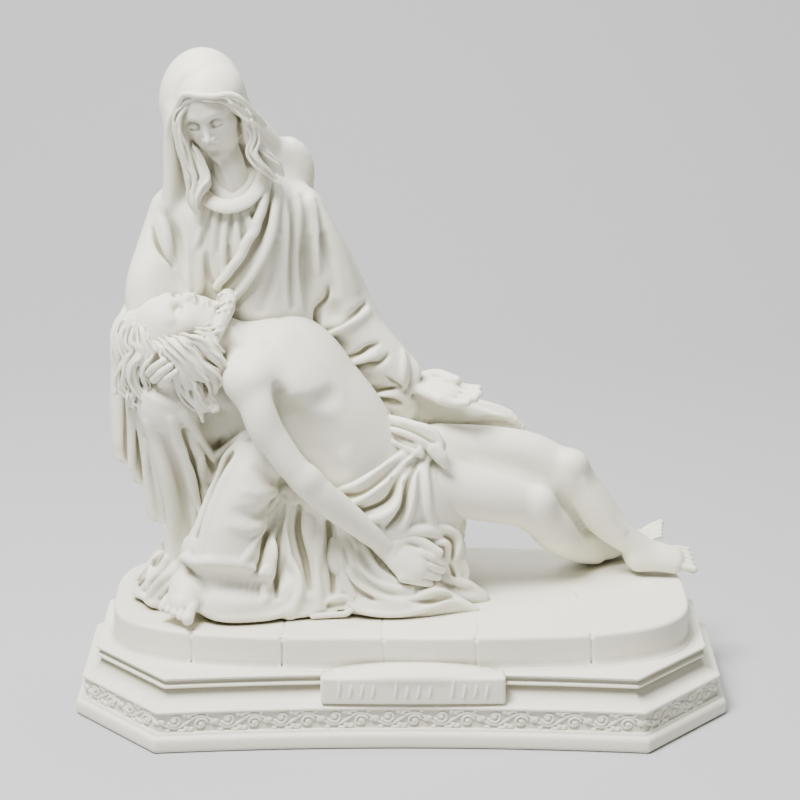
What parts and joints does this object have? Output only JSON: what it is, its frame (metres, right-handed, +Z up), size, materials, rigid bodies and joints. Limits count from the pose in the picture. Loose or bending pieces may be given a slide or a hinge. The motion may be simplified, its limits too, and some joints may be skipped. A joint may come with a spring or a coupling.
{
  "type": "pieta statue",
  "caption": "Seated veiled mother with her dead son across her lap, a cast statuette on a moulded, cut-cornered plinth.",
  "frame": {"origin": "middle of the plinth's underside, on the surface it stands on", "axes": "+Z up, +X to the viewer's right along the plinth's length, towards the son's feet, +Y away from the viewer, so -Y faces the front with the title plate"},
  "size_m": [0.2684, 0.139, 0.2711],
  "materials": {
    "plinth": "satin bonded marble",
    "figures": "satin bonded marble"
  },
  "bodies": {
    "root": {"plinth": "plinth", "figure_group": "figures"}
  },
  "joints": []
}
